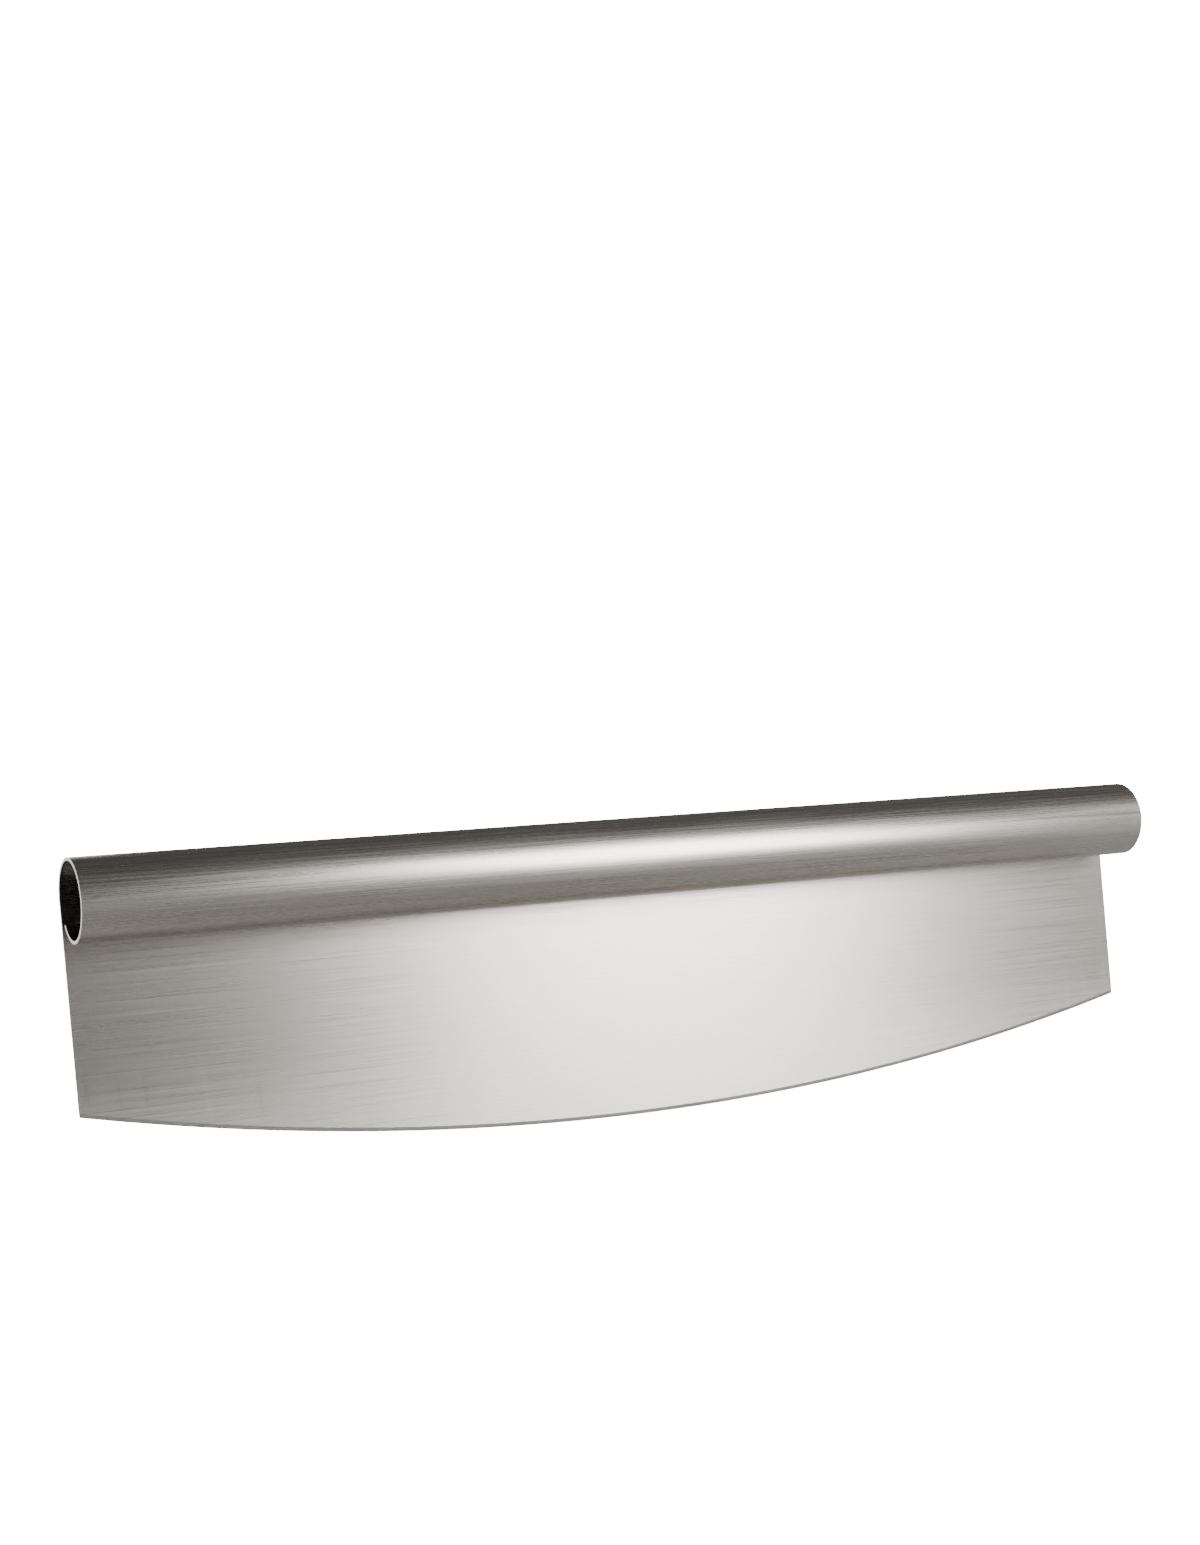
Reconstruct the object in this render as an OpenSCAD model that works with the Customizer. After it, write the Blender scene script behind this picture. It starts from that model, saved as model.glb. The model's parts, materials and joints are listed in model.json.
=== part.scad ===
// Rocking pizza knife bent from one sheet of stainless steel.
// The flat blade stands at the back. Its top is rolled forward over the top, down the
// front and back under, which makes the open tube that both hands hold.
// X runs along the handle, +Y points out of the blade's back, and +Z points up.
// The origin is under the middle of the handle, at the lowest point of the cutting edge.

/* [Knife] */
// Length of the handle and of the blade
knife_length = 356; // [260:1:450]
// Height from the lowest point of the cutting edge to the top of the handle
knife_height = 90; // [80:0.5:130]
// Rise of the cutting edge from its middle to its ends
edge_rise = 19.4; // [6:0.2:30]

/* [Sheet] */
// Thickness of the steel sheet
sheet_thickness = 0.9; // [0.6:0.05:2]
// Height of the ground bevel along the cutting edge
bevel_height = 1.2; // [0.4:0.1:6]
// Thickness left at the very edge
edge_land = 0.1; // [0.05:0.01:0.3]

/* [Handle] */
// Outside diameter of the rolled handle
handle_diameter = 23.8; // [20:0.1:36]
// Turn of the wide part of the roll, from the blade's back over the top
roll_turn = 232; // [200:1:240]
// Turn of the tighter lip that closes the roll
lip_turn = 98; // [80:1:100]
// How much smaller the lip's bend radius is than the handle's
lip_tightening = 1.5; // [0.8:0.1:3]

/* [Tack welds] */
// Length of each tack weld along the handle
tack_length = 4; // [2:0.5:12]
// Height of each tack weld
tack_height = 1.2; // [0.6:0.1:2]
// Distance from each end of the handle to its tack weld
tack_inset = 0.5; // [0:0.1:10]

/* [Hidden] */
handle_radius = handle_diameter / 2;
axis_height = knife_height - handle_radius;
blade_front = handle_radius - sheet_thickness;
// Radius of the cutting edge, from its chord and its rise
edge_radius = (pow(knife_length / 2, 2) + pow(edge_rise, 2)) / (2 * edge_rise);
// The lip's bend starts where the wide roll ends, in line with it
lip_radius = handle_radius - lip_tightening;
lip_centre = lip_tightening * [cos(roll_turn), sin(roll_turn)];
lip_tip_height = lip_centre[1] + lip_radius * sin(roll_turn + lip_turn);
$fn = 128;

// Puts a shape drawn about +Z in place about the handle's axis, with its +X towards +Y
module along_handle(start = -knife_length / 2) {
    translate([start, 0, axis_height])
        rotate([90, 0, 90])
            children();
}

// Section of one bend of the sheet, which turns from one angle about its own centre
module bend_section(centre, outer_radius, from, turn) {
    steps = 8;
    translate(centre)
        intersection() {
            difference() {
                circle(r = outer_radius);
                circle(r = outer_radius - sheet_thickness);
            }
            polygon(concat([[0, 0]], [
                for (i = [0:steps])
                    2 * outer_radius * [cos(from + turn * i / steps), sin(from + turn * i / steps)]
            ]));
        }
}

// Round plate of the sheet's thickness whose rim is ground to the cutting edge
module edge_plate() {
    half_land = edge_land / 2;
    middle = sheet_thickness / 2;
    translate([0, blade_front, edge_radius])
        rotate([-90, 0, 0])
            rotate_extrude()
                polygon([
                    [0, 0],
                    [edge_radius - bevel_height, 0],
                    [edge_radius, middle - half_land],
                    [edge_radius, middle + half_land],
                    [edge_radius - bevel_height, sheet_thickness],
                    [0, sheet_thickness]
                ]);
}

// Flat part of the sheet, from the bend line beside the handle's axis to the edge
module blade() {
    color("silver")
        intersection() {
            edge_plate();
            translate([-knife_length / 2, blade_front - 1, 0])
                cube([knife_length, sheet_thickness + 2, axis_height]);
        }
}

// Rolled part of the sheet: the wide roll and the tighter lip that tucks in behind it
module rolled_handle() {
    color("lightgray")
        along_handle()
            linear_extrude(height = knife_length) {
                bend_section([0, 0], handle_radius, 0, roll_turn);
                bend_section(lip_centre, lip_radius, roll_turn, lip_turn);
            }
}

// A tack weld from the outside of the lip's tip to the blade's front face
module tack(start) {
    along_handle(start)
        difference() {
            translate([lip_centre[0], lip_tip_height - tack_height, 0])
                cube([blade_front - lip_centre[0], tack_height, tack_length]);
            translate([lip_centre[0], lip_centre[1], -1])
                cylinder(h = tack_length + 2, r = lip_radius);
        }
}

// One tack weld near each end of the seam
module seam_tacks() {
    color("gray")
        for (start = [
            -knife_length / 2 + tack_inset,
            knife_length / 2 - tack_inset - tack_length
        ])
            tack(start);
}

blade();
rolled_handle();
seam_tacks();
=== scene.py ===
"""Rocking pizza knife in brushed stainless steel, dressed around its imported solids.

The knife is one bent sheet. Its flat zone is the blade, its rolled zone is the handle, and
two tack welds close the seam. Lengths are in metres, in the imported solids' frame.
"""

import json
import logging
import math
from dataclasses import dataclass
from enum import Enum

import bmesh
import bpy
from mathutils import Matrix, Vector

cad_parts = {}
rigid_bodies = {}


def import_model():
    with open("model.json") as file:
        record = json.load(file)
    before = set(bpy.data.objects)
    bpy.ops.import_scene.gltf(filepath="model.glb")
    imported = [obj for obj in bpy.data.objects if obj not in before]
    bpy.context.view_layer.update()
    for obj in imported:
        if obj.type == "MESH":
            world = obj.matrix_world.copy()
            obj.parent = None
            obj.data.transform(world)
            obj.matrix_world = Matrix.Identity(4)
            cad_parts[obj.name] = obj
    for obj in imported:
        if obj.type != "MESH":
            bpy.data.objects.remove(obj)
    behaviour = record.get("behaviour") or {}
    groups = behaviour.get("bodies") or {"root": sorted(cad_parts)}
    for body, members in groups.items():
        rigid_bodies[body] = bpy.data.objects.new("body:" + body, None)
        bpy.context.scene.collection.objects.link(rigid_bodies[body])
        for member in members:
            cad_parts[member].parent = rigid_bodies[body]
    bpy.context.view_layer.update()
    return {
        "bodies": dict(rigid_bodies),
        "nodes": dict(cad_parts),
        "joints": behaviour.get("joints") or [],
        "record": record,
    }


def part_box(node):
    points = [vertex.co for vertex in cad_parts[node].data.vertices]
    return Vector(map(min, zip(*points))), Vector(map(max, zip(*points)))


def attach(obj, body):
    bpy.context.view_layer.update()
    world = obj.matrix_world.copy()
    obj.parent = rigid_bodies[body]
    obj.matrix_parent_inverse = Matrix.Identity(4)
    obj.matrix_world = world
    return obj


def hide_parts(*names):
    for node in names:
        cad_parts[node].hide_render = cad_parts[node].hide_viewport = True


LOG = logging.getLogger("pizza_knife")
MM = 0.001
BODY = "root"
UV_NAME = "UVMap"
# Edges that bend more than this are shaded as hard corners
CREASE = math.radians(30)
# Turns the smear of a reflection from along the grain to across it
QUARTER_TURN = 0.25
# A face whose UV map covers less than this, in square metres, has none of its own
SMALLEST_UV_AREA = 1e-12


class Slot(Enum):
    """The record's material slots."""

    BLADE = "blade_steel"
    HANDLE = "handle_steel"
    WELD = "weld_steel"


def linear_colour(hex_code: str) -> tuple[float, float, float, float]:
    """Turns an sRGB hex value into a linear colour.

    Args:
        hex_code: Six hex digits, such as "c8c4bd".

    Returns:
        Linear red, green, blue and an alpha of 1.
    """
    parts = [int(hex_code[i:i + 2], 16) / 255 for i in (0, 2, 4)]
    linear = [p / 12.92 if p <= 0.04045 else ((p + 0.055) / 1.055) ** 2.4 for p in parts]
    return (*linear, 1.0)


def add_node(
    tree: bpy.types.NodeTree,
    kind: str,
    settings: dict | None = None,
    links: dict | None = None,
) -> bpy.types.Node:
    """Adds a node, sets its values and links its inputs.

    Args:
        tree: The node tree that gets the node.
        kind: The node's type name.
        settings: Attribute names, or input names and numbers, with their values.
        links: Input names or numbers with the output sockets that feed them.

    Returns:
        The new node.
    """
    node = tree.nodes.new(kind)
    for name, value in (settings or {}).items():
        if isinstance(name, str) and hasattr(node, name):
            setattr(node, name, value)
        else:
            node.inputs[name].default_value = value
    for name, output in (links or {}).items():
        tree.links.new(output, node.inputs[name])
    return node


def empty_material(name: str) -> bpy.types.Material:
    """Makes a material whose node tree is empty.

    Args:
        name: The material's name.

    Returns:
        The material.
    """
    material = bpy.data.materials.new(name)
    material.use_nodes = True
    material.node_tree.nodes.clear()
    return material


@dataclass(frozen=True)
class BrushedStainless:
    """Austenitic stainless sheet, belt-brushed along its length.

    The belt leaves fine straight scratches, so a reflection smears across them and stays
    sharp along them. Real scratches are a few hundredths of a millimetre wide. They are
    drawn coarser here, so that they show.
    """

    name: str
    colour: str = "cfcac3"
    scratched: str = "a8a49d"
    roughness: float = 0.3
    roughness_spread: float = 0.1
    scratch_width: float = 0.25 * MM
    scratch_length: float = 60 * MM
    scratch_height: float = 0.003 * MM
    scratch_relief: float = 0.5
    scratch_detail: float = 3.0
    scratch_unevenness: float = 0.6
    noise_low: float = 0.3
    noise_high: float = 0.7
    anisotropy: float = 0.75

    def make(self) -> bpy.types.Material:
        """Builds the material.

        Returns:
            The finished material.
        """
        material = empty_material(self.name)
        tree = material.node_tree
        place = add_node(tree, "ShaderNodeTexCoord")
        across = 1 / self.scratch_width
        lanes = add_node(tree, "ShaderNodeMapping", {
            "Scale": (1 / self.scratch_length, across, across),
        }, {"Vector": place.outputs["Object"]})
        scratches = add_node(tree, "ShaderNodeTexNoise", {
            "Scale": 1.0, "Detail": self.scratch_detail, "Roughness": self.scratch_unevenness,
        }, {"Vector": lanes.outputs["Vector"]})
        tint = add_node(tree, "ShaderNodeMix", {
            "data_type": "RGBA",
            6: linear_colour(self.scratched),
            7: linear_colour(self.colour),
        }, {0: scratches.outputs["Fac"]})
        polish = add_node(tree, "ShaderNodeMapRange", {
            "From Min": self.noise_low,
            "From Max": self.noise_high,
            "To Min": self.roughness - self.roughness_spread / 2,
            "To Max": self.roughness + self.roughness_spread / 2,
        }, {"Value": scratches.outputs["Fac"]})
        relief = add_node(tree, "ShaderNodeBump", {
            "Strength": self.scratch_relief, "Distance": self.scratch_height,
        }, {"Height": scratches.outputs["Fac"]})
        grain = add_node(tree, "ShaderNodeTangent", {"direction_type": "UV_MAP"})
        shader = add_node(tree, "ShaderNodeBsdfPrincipled", {
            "Metallic": 1.0,
            "Anisotropic": self.anisotropy,
            "Anisotropic Rotation": QUARTER_TURN,
        }, {
            "Base Color": tint.outputs[2],
            "Roughness": polish.outputs["Result"],
            "Normal": relief.outputs["Normal"],
            "Tangent": grain.outputs["Tangent"],
        })
        add_node(tree, "ShaderNodeOutputMaterial", None, {"Surface": shader.outputs["BSDF"]})
        return material


@dataclass(frozen=True)
class KnifeSizes:
    """Sizes that the pieces share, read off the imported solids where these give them."""

    length: float
    radius: float
    sheet: float
    axis_height: float
    edge_rise: float = 19.4 * MM
    bevel: float = 1.2 * MM
    land: float = 0.1 * MM
    roll_turn: float = math.radians(232)
    lip_turn: float = math.radians(98)
    lip_tightening: float = 1.5 * MM

    @classmethod
    def from_frame(cls) -> "KnifeSizes":
        """Reads the knife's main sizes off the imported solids.

        Returns:
            The sizes.
        """
        blade_low, blade_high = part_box("blade")
        roll_low, roll_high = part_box("rolled_handle")
        return cls(
            length=roll_high.x - roll_low.x,
            radius=roll_high.y,
            sheet=blade_high.y - blade_low.y,
            axis_height=blade_high.z,
        )

    @property
    def edge_radius(self) -> float:
        """Radius of the cutting edge, from its chord and its rise."""
        return ((self.length / 2) ** 2 + self.edge_rise ** 2) / (2 * self.edge_rise)

    def edge_height(self, x: float) -> float:
        """Height of the cutting edge at a place along the blade."""
        return self.edge_radius - math.sqrt(self.edge_radius ** 2 - x ** 2)


def loft(mesh: bmesh.types.BMesh, rings: list[list[Vector]]) -> None:
    """Joins closed rings into a capped bar, with a UV map whose first axis runs along X.

    Args:
        mesh: The bmesh that gets the bar.
        rings: Rings of equally many points, each at one place along X.
    """
    uv = mesh.loops.layers.uv.new(UV_NAME)
    made = [[mesh.verts.new(point) for point in ring] for ring in rings]
    first = rings[0]
    count = len(first)
    across = [0.0]
    for i in range(count):
        across.append(across[-1] + (first[(i + 1) % count] - first[i]).length)
    for here, there in zip(made, made[1:]):
        for i in range(count):
            k = (i + 1) % count
            face = mesh.faces.new((here[i], there[i], there[k], here[k]))
            for corner, side in zip(face.loops, (i, i, i + 1, i + 1)):
                corner[uv].uv = (corner.vert.co.x, across[side])
    mesh.faces.new(made[0])
    mesh.faces.new(reversed(made[-1]))


def lay_grain_on_cut_faces(mesh: bmesh.types.BMesh) -> None:
    """Gives each face whose UV map has no area one that follows the sheet's cut.

    Args:
        mesh: The bmesh, with its UV map in place.
    """
    uv = mesh.loops.layers.uv[UV_NAME]
    for face in mesh.faces:
        corners = [corner[uv].uv.copy() for corner in face.loops]
        area = sum(a.cross(b) for a, b in zip(corners, corners[1:] + corners[:1]))
        if abs(area) > SMALLEST_UV_AREA:
            continue
        across_end = abs(face.normal.x) > abs(face.normal.y) + abs(face.normal.z)
        for corner in face.loops:
            x, y, z = corner.vert.co
            corner[uv].uv = (z, y) if across_end else (x, y + z)


def finish_piece(piece: bpy.types.Object, node: str) -> None:
    """Turns a piece's faces outwards, creases its corners and puts it in its node's place.

    Args:
        piece: The piece, with its closed mesh and its material.
        node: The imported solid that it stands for.
    """
    mesh = bmesh.new()
    mesh.from_mesh(piece.data)
    bmesh.ops.recalc_face_normals(mesh, faces=mesh.faces)
    lay_grain_on_cut_faces(mesh)
    for edge in mesh.edges:
        edge.smooth = edge.calc_face_angle(0) < CREASE
    mesh.to_mesh(piece.data)
    mesh.free()
    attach(piece, BODY)
    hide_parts(node)
    LOG.info("%s: %d faces", piece.name, len(piece.data.polygons))


def new_piece(name: str, data: bpy.types.Mesh) -> bpy.types.Object:
    """Puts a mesh in the scene under a piece's name."""
    piece = bpy.data.objects.new(name, data)
    bpy.context.scene.collection.objects.link(piece)
    return piece


@dataclass
class Blade:
    """Flat zone of the sheet, from the bend line down to the ground cutting edge."""

    sizes: KnifeSizes
    columns: int = 240
    # Heights of the rows of faces between the bend line and the bevel, as shares
    rows: tuple[float, ...] = (1.0, 0.66, 0.4)

    def section(self, x: float) -> list[Vector]:
        """Gives the blade's section at a place along it.

        Args:
            x: The place.

        Returns:
            The ring's points, from the top of the front face round the edge.
        """
        s = self.sizes
        front, back = s.radius - s.sheet, s.radius
        middle = (front + back) / 2
        low = s.edge_height(x)
        heights = [s.axis_height * share for share in self.rows] + [low + s.bevel]
        return (
            [Vector((x, front, height)) for height in heights]
            + [Vector((x, middle + way * s.land / 2, low)) for way in (-1, 1)]
            + [Vector((x, back, height)) for height in reversed(heights)]
        )

    def build(self, finish: BrushedStainless) -> None:
        """Builds and dresses the blade.

        Args:
            finish: Its finish.
        """
        half = self.sizes.length / 2
        places = [-half + 2 * half * i / self.columns for i in range(self.columns + 1)]
        mesh = bmesh.new()
        loft(mesh, [self.section(x) for x in places])
        data = bpy.data.meshes.new("blade_sheet")
        mesh.to_mesh(data)
        mesh.free()
        data.materials.append(finish.make())
        finish_piece(new_piece("blade_sheet", data), "blade")


@dataclass
class RolledHandle:
    """Rolled zone of the sheet: a wide roll and the tighter lip that tucks in behind it."""

    sizes: KnifeSizes
    columns: int = 60
    steps: int = 136

    def roll_tree(self) -> bpy.types.GeometryNodeTree:
        """Builds the tree that bends a flat grid to the outer face of the roll.

        A point's angle grows evenly across the grid. It lies at the lip's radius at that
        angle, about a centre that turns with it on the wide roll and stays where the lip
        begins.

        Returns:
            The tree, with named inputs for the roll's sizes.
        """
        tree = bpy.data.node_groups.new("sheet_roll", "GeometryNodeTree")
        for name, kind in (
            ("Length", "NodeSocketFloat"),
            ("Radius", "NodeSocketFloat"),
            ("Axis Height", "NodeSocketFloat"),
            ("Lip Tightening", "NodeSocketFloat"),
            ("Roll Turn", "NodeSocketFloat"),
            ("Lip Turn", "NodeSocketFloat"),
            ("Points Along", "NodeSocketInt"),
            ("Points Around", "NodeSocketInt"),
            ("Steel", "NodeSocketMaterial"),
        ):
            tree.interface.new_socket(name, in_out="INPUT", socket_type=kind)
        tree.interface.new_socket("Roll", in_out="OUTPUT", socket_type="NodeSocketGeometry")
        sizes = add_node(tree, "NodeGroupInput").outputs
        grid = add_node(tree, "GeometryNodeMeshGrid", {"Size Y": 1.0}, {
            "Size X": sizes["Length"],
            "Vertices X": sizes["Points Along"],
            "Vertices Y": sizes["Points Around"],
        })
        place = add_node(tree, "GeometryNodeInputPosition")
        flat = add_node(tree, "ShaderNodeSeparateXYZ", None, {0: place.outputs[0]})
        share = add_node(tree, "ShaderNodeMath", {"operation": "ADD", 1: 0.5}, {
            0: flat.outputs["Y"],
        })
        turn = add_node(tree, "ShaderNodeMath", {"operation": "ADD"}, {
            0: sizes["Roll Turn"], 1: sizes["Lip Turn"],
        })
        angle = add_node(tree, "ShaderNodeMath", {"operation": "MULTIPLY"}, {
            0: share.outputs[0], 1: turn.outputs[0],
        })
        held_angle = add_node(tree, "ShaderNodeMath", {"operation": "MINIMUM"}, {
            0: angle.outputs[0], 1: sizes["Roll Turn"],
        })
        lip_radius = add_node(tree, "ShaderNodeMath", {"operation": "SUBTRACT"}, {
            0: sizes["Radius"], 1: sizes["Lip Tightening"],
        })
        point = add_node(tree, "ShaderNodeCombineXYZ", None, {
            "X": flat.outputs["X"], "Z": sizes["Axis Height"],
        })
        for reach, about in (
            (lip_radius.outputs[0], angle), (sizes["Lip Tightening"], held_angle)
        ):
            arm = add_node(tree, "ShaderNodeCombineXYZ", None, {"Y": reach})
            turned = add_node(tree, "ShaderNodeVectorRotate", {"rotation_type": "X_AXIS"}, {
                "Vector": arm.outputs[0], "Angle": about.outputs[0],
            })
            point = add_node(tree, "ShaderNodeVectorMath", {"operation": "ADD"}, {
                0: point.outputs[0], 1: turned.outputs[0],
            })
        around = add_node(tree, "ShaderNodeMath", {"operation": "MULTIPLY"}, {
            0: angle.outputs[0], 1: sizes["Radius"],
        })
        grain = add_node(tree, "ShaderNodeCombineXYZ", None, {
            "X": flat.outputs["X"], "Y": around.outputs[0],
        })
        mapped = add_node(tree, "GeometryNodeStoreNamedAttribute", {
            "data_type": "FLOAT2", "domain": "CORNER", "Name": UV_NAME,
        }, {"Geometry": grid.outputs["Mesh"], "Value": grain.outputs[0]})
        bent = add_node(tree, "GeometryNodeSetPosition", None, {
            "Geometry": mapped.outputs[0], "Position": point.outputs[0],
        })
        smooth = add_node(tree, "GeometryNodeSetShadeSmooth", None, {0: bent.outputs[0]})
        whole = add_node(tree, "GeometryNodeRealizeInstances", None, {0: smooth.outputs[0]})
        dressed = add_node(tree, "GeometryNodeSetMaterial", None, {
            "Geometry": whole.outputs[0], "Material": sizes["Steel"],
        })
        add_node(tree, "NodeGroupOutput", None, {0: dressed.outputs[0]})
        return tree

    def build(self, finish: BrushedStainless) -> None:
        """Builds and dresses the handle.

        Args:
            finish: Its finish.
        """
        s = self.sizes
        piece = new_piece("handle_roll", bpy.data.meshes.new("handle_roll"))
        roll = piece.modifiers.new("roll", "NODES")
        roll.node_group = self.roll_tree()
        values = {
            "Length": s.length,
            "Radius": s.radius,
            "Axis Height": s.axis_height,
            "Lip Tightening": s.lip_tightening,
            "Roll Turn": s.roll_turn,
            "Lip Turn": s.lip_turn,
            "Points Along": self.columns + 1,
            "Points Around": self.steps + 1,
            "Steel": finish.make(),
        }
        for item in roll.node_group.interface.items_tree:
            if item.name in values:
                roll[item.identifier] = values[item.name]
        # The grid's faces look at the axis, so the sheet thickens inwards
        wall = piece.modifiers.new("sheet", "SOLIDIFY")
        wall.thickness = s.sheet
        wall.offset = 1
        seen = piece.evaluated_get(bpy.context.evaluated_depsgraph_get())
        data = bpy.data.meshes.new_from_object(seen)
        piece.modifiers.clear()
        piece.data = data
        finish_piece(piece, "rolled_handle")


@dataclass
class SeamTacks:
    """The two tack welds that hold the lip of the roll to the blade."""

    def dress(self, frame: dict, finish: BrushedStainless) -> None:
        """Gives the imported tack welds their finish.

        Args:
            frame: The loaded frame.
            finish: The weld's finish.
        """
        node = frame["nodes"]["seam_tacks"]
        node.data.materials.clear()
        node.data.materials.append(finish.make())
        LOG.info("seam_tacks: %d faces", len(node.data.polygons))


@dataclass(frozen=True)
class Softbox:
    """A rectangular soft light. Its azimuth is in degrees, right of straight in front."""

    name: str
    azimuth: float
    height: float
    distance: float
    width: float
    tall: float
    watts: float

    def hang(self, aim: Vector) -> None:
        """Puts the light in its place, facing a point.

        Args:
            aim: The point.
        """
        turn = math.radians(self.azimuth)
        place = Vector((
            math.sin(turn) * self.distance, -math.cos(turn) * self.distance, self.height
        ))
        data = bpy.data.lights.new(self.name, "AREA")
        data.shape = "RECTANGLE"
        data.size, data.size_y = self.width, self.tall
        data.energy = self.watts
        light = bpy.data.objects.new(self.name, data)
        facing = (aim - place).to_track_quat("-Z", "Y").to_matrix().to_4x4()
        light.matrix_world = Matrix.Translation(place) @ facing
        bpy.context.scene.collection.objects.link(light)


@dataclass
class Studio:
    """Pale floor, soft lights and the camera at the photograph's viewing angle.

    The camera's turn, tilt, roll and place come from the knife's outline in the picture.
    Its place is in knife lengths, from the middle of the handle.
    """

    sizes: KnifeSizes
    turn: float = 0.46871
    tilt: float = -0.01827
    roll: float = -0.08883
    seat: tuple[float, float, float] = (-0.94051, -1.74081, -0.03959)
    focal_pixels: float = 2331
    picture_height: int = 1545
    centre_row: float = 950.0
    sensor_mm: float = 36
    floor_size: float = 4
    # Keeps the floor just clear of the cutting edge
    floor_drop: float = 0.5 * MM
    # How bright the floor and the surroundings look to the camera alone
    backdrop_glow: float = 20.0
    room_light: float = 0.2
    lights: tuple[Softbox, ...] = (
        Softbox("key_softbox", 29, 0.42, 1.6, 0.4, 0.9, 20),
        Softbox("right_fill", 62, 0.4, 1.8, 0.8, 1.2, 9),
        Softbox("back_fill", 196, 0.6, 1.8, 1.8, 1.2, 18),
    )

    def camera(self) -> None:
        """Makes the camera at the photograph's viewing angle."""
        ahead = Vector((
            math.sin(self.turn) * math.cos(self.tilt),
            math.cos(self.turn) * math.cos(self.tilt),
            math.sin(self.tilt),
        ))
        level = Vector((math.cos(self.turn), -math.sin(self.turn), 0))
        above = level.cross(ahead)
        right = math.cos(self.roll) * level + math.sin(self.roll) * above
        up = -math.sin(self.roll) * level + math.cos(self.roll) * above
        data = bpy.data.cameras.new("camera")
        data.sensor_width = self.sensor_mm
        data.lens = self.focal_pixels * self.sensor_mm / self.picture_height
        data.shift_y = (self.centre_row - self.picture_height / 2) / self.picture_height
        place = Vector(self.seat) * self.sizes.length + Vector((0, 0, self.sizes.axis_height))
        camera = bpy.data.objects.new("camera", data)
        facing = Matrix((right, up, -ahead)).transposed().to_4x4()
        camera.matrix_world = Matrix.Translation(place) @ facing
        bpy.context.scene.collection.objects.link(camera)
        bpy.context.scene.camera = camera

    def surroundings(self) -> None:
        """Makes the surroundings, dim in reflections and white to the camera."""
        world = bpy.data.worlds.new("pale_room")
        bpy.context.scene.world = world
        world.use_nodes = True
        tree = world.node_tree
        tree.nodes.clear()
        seen = add_node(tree, "ShaderNodeLightPath")
        lit = add_node(tree, "ShaderNodeBackground", {
            "Color": linear_colour("b4b2b0"), "Strength": self.room_light,
        })
        plain = add_node(tree, "ShaderNodeBackground", {
            "Color": linear_colour("ffffff"), "Strength": self.backdrop_glow,
        })
        both = add_node(tree, "ShaderNodeMixShader", None, {
            0: seen.outputs["Is Camera Ray"], 1: lit.outputs[0], 2: plain.outputs[0],
        })
        add_node(tree, "ShaderNodeOutputWorld", None, {"Surface": both.outputs[0]})

    def floor(self) -> None:
        """Makes the floor, matt in reflections and white to the camera."""
        material = empty_material("pale_floor")
        tree = material.node_tree
        seen = add_node(tree, "ShaderNodeLightPath")
        matt = add_node(tree, "ShaderNodeBsdfDiffuse", {"Color": linear_colour("f4f4f4")})
        glow = add_node(tree, "ShaderNodeEmission", {
            "Color": linear_colour("ffffff"), "Strength": self.backdrop_glow,
        })
        lift = add_node(tree, "ShaderNodeAddShader", None, {
            0: matt.outputs[0], 1: glow.outputs[0],
        })
        mixed = add_node(tree, "ShaderNodeMixShader", None, {
            0: seen.outputs["Is Camera Ray"], 1: matt.outputs[0], 2: lift.outputs[0],
        })
        add_node(tree, "ShaderNodeOutputMaterial", None, {"Surface": mixed.outputs[0]})
        mesh = bmesh.new()
        bmesh.ops.create_grid(mesh, x_segments=1, y_segments=1, size=self.floor_size)
        data = bpy.data.meshes.new("floor")
        mesh.to_mesh(data)
        mesh.free()
        data.transform(Matrix.Translation((0, 0, -self.floor_drop)))
        data.materials.append(material)
        new_piece("floor", data)

    def build(self) -> None:
        """Makes the camera first, then the surroundings, the floor and the lights."""
        self.camera()
        self.surroundings()
        self.floor()
        for light in self.lights:
            light.hang(Vector((0, 0, self.sizes.axis_height)))


def main() -> None:
    """Builds the studio and the knife's pieces in order."""
    logging.basicConfig(level=logging.INFO, format="%(message)s")
    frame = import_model()
    sizes = KnifeSizes.from_frame()
    Studio(sizes).build()
    Blade(sizes).build(BrushedStainless("brushed_stainless_blade"))
    RolledHandle(sizes).build(BrushedStainless("brushed_stainless_handle", roughness=0.28))
    # A bare weld is duller and rougher than the brushed sheet
    weld = BrushedStainless("bare_weld", "a8a49d", "8c8881", 0.4, 0.15)
    SeamTacks().dress(frame, weld)


if __name__ == "__main__":
    main()
